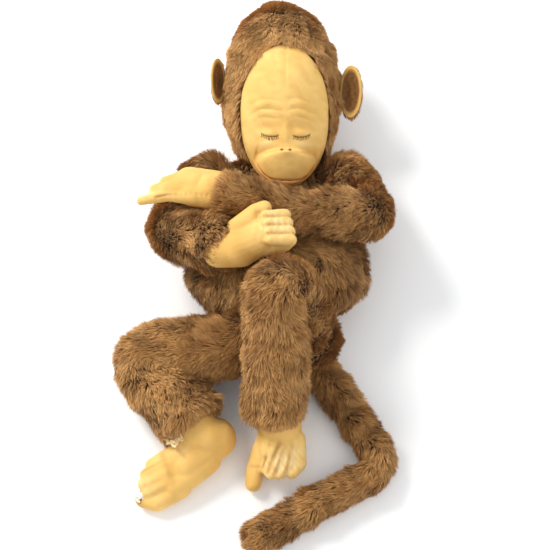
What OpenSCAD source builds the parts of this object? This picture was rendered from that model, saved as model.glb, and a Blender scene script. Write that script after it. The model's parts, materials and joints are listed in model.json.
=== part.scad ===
// Long-limbed stuffed monkey lying on its back with its arms folded.
// Fur-cloth sleeves over soft stuffing, with moulded rubber face, hands and feet.
// +X is the monkey's left, +Y runs to its head, +Z is up from the floor it lies on.
// The origin is in the flat rest patch on its back. All sizes are millimetres.

/* [Body] */
// Width of the body across the hips
hip_width = 168; // [135:1:205]
// Width of the body below the shoulders
shoulder_width = 102; // [84:1:124]
// Length of the body from the seat to the neck
body_length = 170; // [141:1:205]
// Depth of the body from back to belly
body_depth = 92; // [76:1:111]

/* [Head] */
// Width of the head
head_width = 106; // [88:1:128]
// Height of the head from nape to crown
head_height = 176; // [147:1:212]
// Depth of the head from back to face
head_depth = 110; // [91:1:133]
// Angle by which the face leans towards the feet
head_tip = 20; // [12:1:28]
// Width of the moulded face
face_width = 86; // [71:1:98]
// Height of the moulded face
face_height = 140; // [117:1:154]
// Height of each ear
ear_height = 48; // [40:1:58]

/* [Arms] */
// Radius of the left sleeve at the elbow
left_sleeve_r = 18; // [15:0.5:22]
// Radius of the right sleeve at the elbow
right_sleeve_r = 20; // [16:0.5:22]
// Length of each upper arm
upper_arm_length = 80; // [76:1:96]
// Length of the left forearm
left_forearm_length = 148; // [132:1:165]
// Length of the right forearm
right_forearm_length = 76; // [66:1:88]
// Radius of the ball at each shoulder
shoulder_ball_r = 26; // [22:0.5:29]
// Length of each hand beyond the wrist
hand_length = 70; // [58:1:80]

/* [Legs] */
// Radius of the sleeves at the knees
knee_r = 24; // [20:0.5:27]
// Length of the left thigh
left_thigh_length = 88; // [80:1:100]
// Length of the right thigh
right_thigh_length = 99; // [85:1:118]
// Length of the left shin
left_shin_length = 144; // [125:1:170]
// Length of the right shin
right_shin_length = 92; // [80:1:108]
// Radius of the ball at each hip
hip_ball_r = 24; // [20:0.5:29]
// Length of each foot from heel to toe
foot_length = 94; // [80:1:100]

/* [Tail] */
// Radius of the tail cloth
tail_r = 11.5; // [9.5:0.5:13]
// Length of the tail section at the body
tail_root_length = 62; // [52:1:74]
// Length of the middle tail section
tail_mid_length = 86; // [72:1:103]
// Length of the tail section at the tip
tail_tip_length = 144; // [120:1:172]

/* [Cloth] */
// Thickness of the fur cloth
cloth = 1.6; // [1.2:0.1:2.4]
// Thickness of the moulded rubber skins
rubber = 1.8; // [1.4:0.1:2.4]
// Gap between neighbouring pieces
gap = 0.5; // [0.35:0.05:0.8]

/* [Hidden] */
$fn = 64;

FUR = "sienna";
STUFFING = "linen";
RUBBER = "burlywood";
THREAD = "saddlebrown";
big = 900;

function unit(v) = v / norm(v);
// A point at the given length from a point, at a plan angle and a given height
function reach(a, length, plan, z) =
    let (drop = z - a.z, run = sqrt(max(length * length - drop * drop, 1)))
    a + [run * cos(plan), run * sin(plan), drop];

// Body: a pear round a spine that dips towards the neck, so its back lies flat
widest = 0.345;
shoulder_line = 0.865;
back_press = 2;
body_bottom = -82;
hip_r = hip_width / 2;
shoulder_r = shoulder_width / 2;
depth_ratio = body_depth / hip_width;
hip_y = body_bottom + widest * body_length;
spine_dip = atan((hip_r - shoulder_r) * depth_ratio / ((shoulder_line - widest) * body_length));
spine_z = body_depth / 2 - back_press;
function body_outline(v) =
    v < widest ? hip_r * sqrt(max(0, 1 - pow(1 - v / widest, 2)))
    : v < shoulder_line
        ? shoulder_r + (hip_r - shoulder_r) * (1 + cos(180 * (v - widest) / (shoulder_line - widest))) / 2
        : shoulder_r * sqrt(max(0, 1 - pow((v - shoulder_line) / (1 - shoulder_line), 2)));
function spine_at(y) = spine_z - (y - hip_y) * tan(spine_dip);
function body_half_width(y) = body_outline((y - body_bottom) / body_length);
function belly_top(y) = spine_at(y) + body_half_width(y) * depth_ratio;

// Head: an ellipsoid that lies on its back, its crown lifted by the tip angle
crown = [0, cos(head_tip), sin(head_tip)];
face_dir = [0, -sin(head_tip), cos(head_tip)];
head_x = 5;
head_floor_gap = 0.1;
head_z = norm([head_height / 2 * sin(head_tip), head_depth / 2 * cos(head_tip)]) + head_floor_gap;
neck_y = body_bottom + body_length;
neck_tuck = 7;
head_y = neck_y - neck_tuck + head_height / 2 * cos(head_tip);
head_centre = [head_x, head_y, head_z];
neck_r = max(head_width, head_depth) / 2;
chin_below_head = 10;
face_drop = head_height / 2 + chin_below_head - face_height / 2;
face_back = 8;
muzzle_above_chin = 36;
muzzle_drop = head_height / 2 + chin_below_head - muzzle_above_chin;
muzzle_r = [34, 34, 24];
muzzle_lift = 41;
ear_r = [13, ear_height / 2, 6];
head_facets = 40;
ear_facets = 24;

// Arm joints
shoulder_below_neck = 26;
shoulder_y = neck_y - shoulder_below_neck;
shoulder_out = 20;
shoulder_rise = 2;
shoulder = [body_half_width(shoulder_y) + shoulder_out, shoulder_y, spine_at(shoulder_y) + shoulder_rise];
left_elbow_below = 54;
left_elbow_rise = 9;
left_elbow_z = belly_top(shoulder_y - left_elbow_below) + left_elbow_rise;
left_elbow = reach(shoulder, upper_arm_length, -70, left_elbow_z);
left_wrist_below = 50;
left_wrist_rise = 19;
left_wrist_z = belly_top(shoulder_y - left_wrist_below) + left_sleeve_r + left_wrist_rise;
left_wrist = reach(left_elbow, left_forearm_length, 176, left_wrist_z);
right_shoulder = [-shoulder.x, shoulder.y, shoulder.z];
right_elbow_below = 62;
right_elbow_rise = 11;
right_elbow_z = belly_top(shoulder_y - right_elbow_below) - right_sleeve_r + right_elbow_rise;
right_elbow = reach(right_shoulder, upper_arm_length, -115, right_elbow_z);
right_wrist_below = 92;
right_wrist_rise = 1;
right_wrist_z = belly_top(shoulder_y - right_wrist_below) + right_sleeve_r + right_wrist_rise;
right_wrist = reach(right_elbow, right_forearm_length, -33, right_wrist_z);
wrist_ball_r = 13;
wrist_hole_r = 7;
wrist_set_back = 10;
cuff_r = 17;

// Leg joints
hip = [30, body_bottom - 20, body_depth / 2 + 4];
left_knee = reach(hip, left_thigh_length, 132, hip.z + 80);
foot_sole_drop = 28;
left_ankle = reach(left_knee, left_shin_length, -92, foot_sole_drop + 2);
right_hip = [-hip.x, hip.y, hip.z];
right_knee = reach(right_hip, right_thigh_length, -174, knee_r + 8);
right_ankle = reach(right_knee, right_shin_length, -52, foot_sole_drop + 1);
ankle_ball_r = 15;
ankle_hole_r = 8;
ankle_set_back = 23;
shin_cuff_r = 23;

// Tail joints
tail_z = tail_r + 0.4;
tail_start = [24, body_bottom - 3, tail_z];
tail_bend_1 = reach(tail_start, tail_root_length, -58, tail_z);
tail_bend_2 = reach(tail_bend_1, tail_mid_length, -59, tail_z);
tail_end = reach(tail_bend_2, tail_tip_length, -151, tail_z);
tail_set_back = tail_r + 1;

// Frames ---------------------------------------------------------------------------------------

// Turns the local +Z towards a direction and moves the local origin to a point
module along(a, dir) {
    translate(a)
        rotate([0, acos(unit(dir).z), atan2(dir.y, dir.x)])
            children();
}

// Puts local X, Y and Z along three given directions at a point
module placed(a, x, y, z) {
    multmatrix([[x.x, y.x, z.x, a.x], [x.y, y.y, z.y, a.y], [x.z, y.z, z.z, a.z], [0, 0, 0, 1]])
        children();
}

module head_frame() {
    placed(head_centre, [1, 0, 0], crown, face_dir) children();
}

// Everything on one side of the plane through a point, on the side that dir points to
module half_space(a, dir, back = 0) {
    along(a + unit(dir) * -back, dir) translate([-big, -big, 0]) cube([2 * big, 2 * big, 2 * big]);
}

// Limb sections ----------------------------------------------------------------------------------

// A stuffed sleeve from a to b: a ball at its start, then a tube with a slight belly
function sleeve_r(t, r0, r1, belly) = r0 + (r1 - r0) * t + belly * sin(180 * t);
module sleeve_tube(a, b, r0, r1, belly, end, inset) {
    steps = 10;
    length = norm(b - a) - end;
    along(a, b - a)
        rotate_extrude()
            polygon(concat([[0, 0]],
                [for (i = [0:steps]) [sleeve_r(i / steps, r0, r1, belly) - inset, length * i / steps]],
                [[0, length]]));
}

module sleeve_solid(a, b, r0, r1, belly, ball, end, inset) {
    translate(a) sphere(ball - inset);
    sleeve_tube(a, b, r0, r1, belly, end, inset);
}

module sleeve_fur(a, b, r0, r1, belly, ball, end) {
    difference() {
        sleeve_solid(a, b, r0, r1, belly, ball, end, 0);
        sleeve_solid(a, b, r0, r1, belly, ball, end - cloth, cloth);
    }
}

// The stuffing stops short of the ball that starts the next section
module sleeve_stuffing(a, b, r0, r1, belly, ball, end, next_ball) {
    sleeve_solid(a, b, r0, r1, belly, ball, max(end + cloth, next_ball + gap), cloth + gap);
}

// Body ---------------------------------------------------------------------------------------------

module pear(inset) {
    steps = 26;
    length = body_length - 2 * inset;
    shrink = (hip_r - inset) / hip_r;
    depth = (body_depth / 2 - inset) / (hip_r - inset);
    difference() {
        translate([0, hip_y, spine_z])
            rotate([-spine_dip, 0, 0])
                translate([0, body_bottom - hip_y + inset, 0])
                    scale([1, 1, depth])
                        rotate([-90, 0, 0])
                            rotate_extrude()
                                polygon([for (i = [0:steps]) let (v = (1 - cos(180 * i / steps)) / 2)
                                    [body_outline(v) * shrink, v * length]]);
        translate([-big, -big, inset - 2 * big]) cube(2 * big);
    }
}

module head_envelope(extra) {
    head_frame()
        scale([neck_r + extra, head_height / 2 + extra, neck_r + extra]) sphere(1);
}

module body_sockets() {
    for (side = [-1, 1]) {
        translate([side * shoulder.x, shoulder.y, shoulder.z]) sphere(shoulder_ball_r + gap);
        translate([side * hip.x, hip.y, hip.z]) sphere(hip_ball_r + gap);
    }
    translate(tail_start) sphere(tail_r + gap);
    head_envelope(gap);
    left_thigh_solid(-gap);
}

module body_fur() {
    color(FUR) difference() {
        pear(0);
        pear(cloth);
        body_sockets();
    }
}

module body_stuffing() {
    color(STUFFING) difference() {
        pear(cloth + gap);
        body_sockets();
    }
}

// Head ---------------------------------------------------------------------------------------------

module skull(inset) {
    head_frame()
        scale([head_width / 2 - inset, head_height / 2 - inset, head_depth / 2 - inset])
            sphere(1, $fn = head_facets);
}

module muzzle(inset) {
    head_frame()
        translate([0, -muzzle_drop, muzzle_lift])
            scale([muzzle_r.x - inset, muzzle_r.y - inset, muzzle_r.z - inset])
                sphere(1, $fn = head_facets);
}

module face_outline(extra) {
    head_frame()
        translate([0, -face_drop, face_back - extra])
            scale([face_width / 2 + extra, face_height / 2 + extra, 1])
                cylinder(r = 1, h = big, $fn = head_facets);
}

module head_fur() {
    color(FUR) difference() {
        skull(0);
        skull(cloth);
        face_outline(gap);
        muzzle(-gap);
    }
}

module head_stuffing() {
    color(STUFFING) union() {
        skull(rubber + 2 * gap);
        muzzle(cloth + rubber + gap);
    }
}

module face_mask() {
    color(RUBBER) intersection() {
        difference() {
            union() {
                skull(0);
                muzzle(0);
            }
            skull(rubber);
            muzzle(rubber);
        }
        face_outline(0);
    }
}

module ear_place(side) {
    head_frame()
        translate([side * (head_width / 2 + 4), 6, 10])
            rotate([0, side * -24, 0]) children();
}

module ear_shape(inset) {
    scale([ear_r.x - inset, ear_r.y - inset, ear_r.z - inset / 2]) sphere(1, $fn = ear_facets);
}

module ear(side) {
    color(FUR) difference() {
        ear_place(side) difference() {
            ear_shape(0);
            translate([0, 0, ear_r.z / 2]) ear_shape(cloth);
        }
        skull(-gap);
    }
}

module ear_lining(side) {
    color(RUBBER) difference() {
        ear_place(side) intersection() {
            difference() {
                translate([0, 0, ear_r.z / 2]) ear_shape(cloth + gap);
                translate([0, 0, ear_r.z / 2 + rubber]) ear_shape(cloth + gap);
            }
            ear_shape(0);
        }
        skull(-gap - cloth);
    }
}

module left_ear() { ear(1); }
module left_ear_lining() { ear_lining(1); }
module right_ear() { ear(-1); }
module right_ear_lining() { ear_lining(-1); }

// Arms ---------------------------------------------------------------------------------------------

// Room that a sleeve leaves for the next one when the two are bent to the given angle
function bend_room(r, angle) = r / tan(angle / 2) + gap;
function bend_angle(a, j, b) = acos(unit(a - j) * unit(b - j));

left_upper = [shoulder, left_elbow, 21, left_sleeve_r, 0, shoulder_ball_r,
    bend_room(left_sleeve_r + 1, bend_angle(shoulder, left_elbow, left_wrist)), left_sleeve_r];
right_upper = [right_shoulder, right_elbow, 21, right_sleeve_r, 0, shoulder_ball_r,
    bend_room(right_sleeve_r + 1, bend_angle(right_shoulder, right_elbow, right_wrist)), right_sleeve_r];
left_fore = [left_elbow, left_wrist, left_sleeve_r - 0.4, cuff_r, 0.8, left_sleeve_r, wrist_set_back,
    wrist_ball_r];
right_fore = [right_elbow, right_wrist, right_sleeve_r - 0.4, cuff_r, 1, right_sleeve_r, wrist_set_back,
    wrist_ball_r];

module fur_sleeve(s) {
    color(FUR) sleeve_fur(s[0], s[1], s[2], s[3], s[4], s[5], s[6]);
}

module stuffed_sleeve(s) {
    color(STUFFING) sleeve_stuffing(s[0], s[1], s[2], s[3], s[4], s[5], s[6], s[7]);
}

module left_upper_arm_fur() { fur_sleeve(left_upper); }
module left_upper_arm_stuffing() { stuffed_sleeve(left_upper); }
module left_forearm_fur() { fur_sleeve(left_fore); }
module left_forearm_stuffing() { stuffed_sleeve(left_fore); }
module right_upper_arm_fur() { fur_sleeve(right_upper); }
module right_upper_arm_stuffing() { stuffed_sleeve(right_upper); }
module right_forearm_fur() { fur_sleeve(right_fore); }
module right_forearm_stuffing() { stuffed_sleeve(right_fore); }

// The ring of thread that closes a sleeve round a rubber hand or foot
thread_r = 0.8;
hand_facets = 20;
module cuff_seam(s, r) {
    color(THREAD)
        along(s[1] - unit(s[1] - s[0]) * (s[6] - thread_r - gap), s[1] - s[0])
            rotate_extrude() translate([r - thread_r, 0]) circle(thread_r, $fn = 16);
}
module left_wrist_seam() { cuff_seam(left_fore, cuff_r); }
module right_wrist_seam() { cuff_seam(right_fore, cuff_r); }

// Hand: a mitten of palm and closed fingers along local X, with a thumb on local +Y
module hand_solid(inset) {
    palm_x = hand_length * 0.34;
    tip_x = hand_length - 8;
    hull() {
        for (p = [[0, 0, 0, wrist_ball_r], [palm_x, 9, 0, 11], [palm_x, -9, 0, 11],
                [tip_x, 4, 0, 8], [tip_x - 6, -8, 0, 8]])
            translate([p[0], p[1], p[2]]) sphere(p[3] - inset, $fn = hand_facets);
    }
    hull() {
        for (p = [[palm_x - 4, 10, 3, 9], [palm_x + 20, 17, 8, 7]])
            translate([p[0], p[1], p[2]]) sphere(p[3] - inset, $fn = hand_facets);
    }
}

module wrist_opening() {
    translate([-wrist_ball_r - 5, 0, 0]) rotate([0, 90, 0]) cylinder(r = wrist_hole_r, h = 16);
}

left_hand_dir = unit([-1, 0.06, 0.02]);
left_hand_side = unit(cross([0, 0.1, 1], left_hand_dir));
right_hand_dir = unit([1, 0.2, 0.06]);
right_hand_side = unit(cross([0, 0.15, 1], right_hand_dir));
module left_hand_frame() {
    placed(left_wrist, left_hand_dir, -left_hand_side, -cross(left_hand_dir, left_hand_side)) children();
}
module right_hand_frame() {
    placed(right_wrist, right_hand_dir, right_hand_side, cross(right_hand_dir, right_hand_side)) children();
}

module hand_skin() {
    color(RUBBER) difference() {
        hand_solid(0);
        hand_solid(rubber);
        wrist_opening();
    }
}
module left_hand() { left_hand_frame() hand_skin(); }
module left_hand_stuffing() { color(STUFFING) left_hand_frame() hand_solid(rubber + gap); }
module right_hand() { right_hand_frame() hand_skin(); }
module right_hand_stuffing() { color(STUFFING) right_hand_frame() hand_solid(rubber + gap); }

// Legs ---------------------------------------------------------------------------------------------

left_thigh = [hip, left_knee, 21, knee_r - 2, 0, hip_ball_r, 0];
left_shin = [left_knee, left_ankle, knee_r - 1.5, shin_cuff_r, 0.5, knee_r, ankle_set_back];
right_thigh = [right_hip, right_knee, 23, knee_r, 0, hip_ball_r, 0];
right_shin = [right_knee, right_ankle, knee_r - 1.5, shin_cuff_r, 0.5, knee_r, ankle_set_back];

// A sharply folded knee: thigh and shin lie against each other along the plane between them
function fold_side(upper, lower) = unit(unit(upper[0] - upper[1]) - unit(lower[1] - upper[1]));

module folded_thigh(upper, lower, inset) {
    difference() {
        sleeve_solid(upper[0], upper[1], upper[2], upper[3], upper[4], upper[5], 0, inset);
        translate(upper[1]) sphere(lower[5] + gap + max(inset, 0));
        half_space(upper[1], -fold_side(upper, lower), gap + inset);
    }
}

module folded_shin(upper, lower, inset, end) {
    translate(lower[0]) sphere(lower[5] - inset);
    difference() {
        sleeve_tube(lower[0], lower[1], lower[2], lower[3], lower[4], end, inset);
        half_space(lower[0], fold_side(upper, lower), gap + inset);
    }
}

module left_thigh_solid(inset) {
    sleeve_solid(left_thigh[0], left_thigh[1], left_thigh[2], left_thigh[3], left_thigh[4],
        left_thigh[5], 0, inset);
}

module thigh_fur(upper, lower) {
    color(FUR) difference() {
        folded_thigh(upper, lower, 0);
        folded_thigh(upper, lower, cloth);
        translate(upper[1]) sphere(lower[5] + gap + 2 * cloth);
    }
}

module thigh_stuffing(upper, lower) {
    color(STUFFING) folded_thigh(upper, lower, cloth + gap);
}

module shin_fur(upper, lower) {
    color(FUR) difference() {
        folded_shin(upper, lower, 0, lower[6]);
        folded_shin(upper, lower, cloth, lower[6] - cloth);
    }
}

module shin_stuffing(upper, lower) {
    color(STUFFING) folded_shin(upper, lower, cloth + gap, lower[6] + cloth);
}

module left_thigh_fur() { thigh_fur(left_thigh, left_shin); }
module left_thigh_stuffing() { thigh_stuffing(left_thigh, left_shin); }
module left_shin_fur() { shin_fur(left_thigh, left_shin); }
module left_shin_stuffing() { shin_stuffing(left_thigh, left_shin); }
module right_thigh_fur() { thigh_fur(right_thigh, right_shin); }
module right_thigh_stuffing() { thigh_stuffing(right_thigh, right_shin); }
module right_shin_fur() { shin_fur(right_thigh, right_shin); }
module right_shin_stuffing() { shin_stuffing(right_thigh, right_shin); }
module left_ankle_seam() { cuff_seam(left_shin, shin_cuff_r); }
module right_ankle_seam() { cuff_seam(right_shin, shin_cuff_r); }

// Foot: heel, ball and toes along local X, sole towards local -Z
heel_x = -17;
heel_r = 15;
module foot_solid(inset) {
    toe_x = foot_length + heel_x - heel_r - 9;
    drop = -(foot_sole_drop - heel_r);
    hull() {
        for (p = [[0, 0, 0, ankle_ball_r], [heel_x, 0, drop, heel_r],
                [toe_x * 0.68, 10, drop + 3, 12], [toe_x * 0.68, -10, drop + 3, 12],
                [toe_x, 12, drop - 5, 9], [toe_x - 5, -12, drop - 5, 9]])
            translate([p[0], p[1], p[2]]) sphere(p[3] - inset, $fn = hand_facets);
    }
}

left_toe_dir = unit([-0.06, -1, -0.05]);
left_foot_side = unit(cross([0, 0, 1], left_toe_dir));
right_toe_dir = unit([-0.79, -0.61, -0.02]);
right_foot_side = unit(cross([0, 0, 1], right_toe_dir));
module foot_frame(ankle, dir, side) {
    placed(ankle, dir, side, cross(dir, side)) children();
}

module foot_skin(ankle, dir, side, knee) {
    color(RUBBER) difference() {
        foot_frame(ankle, dir, side) foot_solid(0);
        foot_frame(ankle, dir, side) foot_solid(rubber);
        along(ankle, knee - ankle) cylinder(r = ankle_hole_r, h = ankle_ball_r + 5);
    }
}

module foot_filling(ankle, dir, side) {
    color(STUFFING) foot_frame(ankle, dir, side) foot_solid(rubber + gap);
}
module left_foot() { foot_skin(left_ankle, left_toe_dir, left_foot_side, left_knee); }
module left_foot_stuffing() { foot_filling(left_ankle, left_toe_dir, left_foot_side); }
module right_foot() { foot_skin(right_ankle, right_toe_dir, right_foot_side, right_knee); }
module right_foot_stuffing() { foot_filling(right_ankle, right_toe_dir, right_foot_side); }

// Tail ---------------------------------------------------------------------------------------------

// A length of tail turned round its own line: a round start, then either a flat or a round end
module tail_solid(a, b, end, is_tip, inset) {
    steps = 6;
    r = tail_r - inset;
    length = norm(b - a) - end;
    start = [for (i = [0:steps]) let (turn = 90 * i / steps - 90) [r * cos(turn), r * sin(turn)]];
    tip = [for (i = [0:steps]) let (turn = 90 * i / steps) [r * cos(turn), length + r * sin(turn)]];
    flat = [[r, length], [0, length]];
    along(a, b - a) rotate_extrude() polygon(concat(start, is_tip ? tip : flat));
}

module tail_fur(a, b, end) {
    color(FUR) difference() {
        tail_solid(a, b, end, false, 0);
        tail_solid(a, b, end - cloth, false, cloth);
    }
}

module tail_stuffing(a, b, end) {
    color(STUFFING) tail_solid(a, b, max(end, tail_r) + cloth + gap, false, cloth + gap);
}

tail_mid_end = bend_room(tail_r, bend_angle(tail_bend_1, tail_bend_2, tail_end) - 8);
module tail_root_fur() { tail_fur(tail_start, tail_bend_1, tail_set_back); }
module tail_root_stuffing() { tail_stuffing(tail_start, tail_bend_1, tail_set_back); }
module tail_mid_fur() { tail_fur(tail_bend_1, tail_bend_2, tail_mid_end); }
module tail_mid_stuffing() { tail_stuffing(tail_bend_1, tail_bend_2, tail_mid_end); }

// The last length opens to the one before it through its round start
tail_opening_r = 5;
module tail_tip_solid(inset) { tail_solid(tail_bend_2, tail_end, 0, true, inset); }

module tail_tip_fur() {
    color(FUR) difference() {
        tail_tip_solid(0);
        tail_tip_solid(cloth);
        along(tail_bend_2, tail_bend_1 - tail_bend_2) cylinder(r = tail_opening_r, h = 2 * tail_r);
    }
}

module tail_tip_stuffing() { color(STUFFING) tail_tip_solid(cloth + gap); }

body_fur();
body_stuffing();
head_fur();
head_stuffing();
face_mask();
left_ear();
left_ear_lining();
right_ear();
right_ear_lining();
left_upper_arm_fur();
left_upper_arm_stuffing();
left_forearm_fur();
left_forearm_stuffing();
left_wrist_seam();
left_hand();
left_hand_stuffing();
right_upper_arm_fur();
right_upper_arm_stuffing();
right_forearm_fur();
right_forearm_stuffing();
right_wrist_seam();
right_hand();
right_hand_stuffing();
left_thigh_fur();
left_thigh_stuffing();
left_shin_fur();
left_shin_stuffing();
left_ankle_seam();
left_foot();
left_foot_stuffing();
right_thigh_fur();
right_thigh_stuffing();
right_shin_fur();
right_shin_stuffing();
right_ankle_seam();
right_foot();
right_foot_stuffing();
tail_root_fur();
tail_root_stuffing();
tail_mid_fur();
tail_mid_stuffing();
tail_tip_fur();
tail_tip_stuffing();
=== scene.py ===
import json
import math

import bpy
import numpy as np
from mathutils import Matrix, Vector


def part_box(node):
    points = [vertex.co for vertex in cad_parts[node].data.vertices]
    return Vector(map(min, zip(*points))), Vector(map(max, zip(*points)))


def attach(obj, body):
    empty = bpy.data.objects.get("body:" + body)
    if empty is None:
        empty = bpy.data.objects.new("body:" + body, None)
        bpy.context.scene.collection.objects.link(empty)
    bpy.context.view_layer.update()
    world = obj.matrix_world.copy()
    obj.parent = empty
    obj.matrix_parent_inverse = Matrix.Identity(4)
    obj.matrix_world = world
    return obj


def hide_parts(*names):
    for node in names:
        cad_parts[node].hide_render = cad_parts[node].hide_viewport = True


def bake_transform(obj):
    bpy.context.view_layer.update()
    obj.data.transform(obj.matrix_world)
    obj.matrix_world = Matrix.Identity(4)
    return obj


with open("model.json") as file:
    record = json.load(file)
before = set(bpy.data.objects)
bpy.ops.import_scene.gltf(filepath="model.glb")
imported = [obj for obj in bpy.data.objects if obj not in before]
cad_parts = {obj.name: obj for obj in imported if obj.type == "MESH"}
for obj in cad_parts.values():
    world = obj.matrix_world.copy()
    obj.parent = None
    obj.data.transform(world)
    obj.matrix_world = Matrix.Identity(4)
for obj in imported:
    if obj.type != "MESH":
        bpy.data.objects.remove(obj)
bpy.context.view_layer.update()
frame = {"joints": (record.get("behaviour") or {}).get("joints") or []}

# A limp plush monkey asleep on its back. Everything is in metres, in the frame of the CAD model:
# +X is the monkey's left, +Y runs to its head, +Z is up from the floor.

MM = 0.001
PILE = 11.5 * MM          # length of the fur on body and limbs
HEAD_PILE = 9.5 * MM      # length of the fur on the head
FLOOR_GAP = 0.4 * MM      # fur and cloth pressed on the floor stay this far above it
MAX_STRANDS = 38000       # most strands in one piece of fur


# ---- Arrays and small maths ----

def unit(v):
    v = np.asarray(v, float)
    return v / np.maximum(np.linalg.norm(v, axis=-1, keepdims=True), 1e-12)


def smooth(x, lo, hi):
    t = np.clip((x - lo) / (hi - lo), 0, 1)
    return t * t * (3 - 2 * t)


def between(x, middle, inner, outer):
    """1 within inner of the middle, falling smoothly to 0 at outer."""
    return smooth(x, middle - outer, middle - inner) * (1 - smooth(x, middle + inner, middle + outer))


def waves(p, size, seed, count=7):
    """Smooth noise from -1 to 1: a sum of plane waves of about the given size, in metres."""
    rng = np.random.default_rng(seed)
    total = np.zeros(len(p))
    for _ in range(count):
        way = unit(rng.normal(size=3))
        total += np.sin(p @ way * (2 * math.pi / (size * rng.uniform(0.7, 1.5))) + rng.uniform(0, 6.28))
    return total / math.sqrt(count * 0.9)


def full_turn(sides):
    """Angles evenly spaced round a circle."""
    return np.linspace(0, 2 * math.pi, sides, endpoint=False)


def bump(x, y, cx, cy, sx, sy, turn=0.0):
    """A rounded hill of height 1 at (cx, cy)."""
    c, s = math.cos(turn), math.sin(turn)
    u = (x - cx) * c + (y - cy) * s
    v = -(x - cx) * s + (y - cy) * c
    return np.exp(-(u / sx) ** 2 - (v / sy) ** 2)


def joint_at(name):
    return np.array(next(j["pos_m"] for j in frame["joints"] if j["name"] == name))


def joint_axis(name):
    return unit(next(j["axis"] for j in frame["joints"] if j["name"] == name))


def node_box(*names):
    """Lowest and highest corner of some CAD nodes together."""
    boxes = [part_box(n) for n in names]
    return np.min([b[0] for b in boxes], axis=0), np.max([b[1] for b in boxes], axis=0)


# ---- Meshes ----

def add_object(name, data):
    ob = bpy.data.objects.new(name, data)
    bpy.context.scene.collection.objects.link(ob)
    return ob


def mesh_piece(name, verts, faces, material, smooth_shade=True):
    """A new mesh object. Each face is a tuple of three or four places in verts."""
    me = bpy.data.meshes.new(name)
    me.from_pydata([tuple(v) for v in verts], [], [tuple(int(i) for i in f) for f in faces])
    me.polygons.foreach_set("use_smooth", [smooth_shade] * len(me.polygons))
    me.update()
    me.materials.append(material)
    return add_object(name, me)


def read_vectors(items, key):
    out = np.zeros(len(items) * 3)
    items.foreach_get(key, out)
    return out.reshape(-1, 3)


def verts_of(ob):
    return read_vectors(ob.data.vertices, "co")


def normals_of(ob):
    return read_vectors(ob.data.vertex_normals, "vector")


def set_verts(ob, co):
    ob.data.vertices.foreach_set("co", np.asarray(co, float).ravel())
    ob.data.update()


def paint(ob, rgb):
    """Stores a colour for each vertex, which the piece's material reads."""
    layer = ob.data.color_attributes.new("Paint", "FLOAT_COLOR", "POINT")
    rgba = np.ones((len(rgb), 4))
    rgba[:, :3] = rgb
    layer.data.foreach_set("color", rgba.ravel())


def along_path(points, count, corner=0.0):
    """Points evenly spaced along a polyline whose corners are rounded by up to `corner` metres."""
    points = [np.asarray(p, float) for p in points]
    dense = [points[0]]
    for a, b, c in zip(points, points[1:], points[2:]):
        cut = min(corner, 0.48 * np.linalg.norm(b - a), 0.48 * np.linalg.norm(c - b))
        start, end = b + unit(a - b) * cut, b + unit(c - b) * cut
        for t in np.linspace(0, 1, 13):
            dense.append((1 - t) ** 2 * start + 2 * t * (1 - t) * b + t * t * end)
    dense.append(points[-1])
    dense = np.array(dense)
    step = np.concatenate([[0], np.cumsum(np.linalg.norm(np.diff(dense, axis=0), axis=1))])
    s = np.linspace(0, step[-1], count)
    return np.stack([np.interp(s, step, dense[:, k]) for k in range(3)], axis=1), s


def path_frames(path):
    """A side and an up direction at each point of a path, carried along it without twisting."""
    ahead = unit(np.gradient(path, axis=0))
    up = unit(np.cross(ahead[0], [0.31, 0.17, 1.0]))
    sides, ups = [], []
    for t in ahead:
        up = unit(up - t * (up @ t))
        ups.append(up)
        sides.append(np.cross(t, up))
    return np.array(sides), np.array(ups)


def ring_faces(rows, sides):
    """Quads between rows of points that each go once round, sides points to a row."""
    faces = []
    for i in range(rows - 1):
        for j in range(sides):
            k = (j + 1) % sides
            faces.append((i * sides + j, (i + 1) * sides + j, (i + 1) * sides + k, i * sides + k))
    return faces


def disc_faces(rows, sides):
    """Faces of a disc of rings, from the inside out, whose centre is the last point."""
    centre = rows * sides
    return ring_faces(rows, sides) + [(centre, j, (j + 1) % sides) for j in range(sides)]


def loft(path, radii, sides=40):
    """A closed tube round a path: vertices and faces, with a point at each end."""
    side, up = path_frames(path)
    turn = full_turn(sides)
    ring = np.cos(turn)[None, :, None] * side[:, None, :] + np.sin(turn)[None, :, None] * up[:, None, :]
    verts = (path[:, None, :] + ring * np.asarray(radii)[:, None, None]).reshape(-1, 3)
    rows = len(path)
    faces = ring_faces(rows, sides)
    first, last = len(verts), len(verts) + 1
    verts = np.vstack([verts, path[0], path[-1]])
    for j in range(sides):
        k = (j + 1) % sides
        faces.append((first, j, k))
        faces.append((last, (rows - 1) * sides + k, (rows - 1) * sides + j))
    return verts, faces


def end_radii(s, radius, start_round, end_round):
    """Radii along a tube that close like a ball at either end that is to be round."""
    out = radius.copy()
    if start_round:
        near = s < radius[0]
        out[near] *= np.sqrt(np.clip(1 - (1 - s[near] / radius[0]) ** 2, 0.02, 1))
    if end_round:
        left = s[-1] - s
        near = left < radius[-1]
        out[near] *= np.sqrt(np.clip(1 - (1 - left[near] / radius[-1]) ** 2, 0.0004, 1))
    return out


def press_on_floor(co):
    """Flattens whatever would sink below the floor."""
    out = co.copy()
    out[:, 2] = np.maximum(out[:, 2], FLOOR_GAP)
    return out


def line_distance(co, start, end):
    """Distance of each point from the line between two points."""
    way = end - start
    t = np.clip((co - start) @ way / (way @ way), 0, 1)
    return np.linalg.norm(co - (start + t[:, None] * way), axis=1)


# ---- Materials ----

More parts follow.
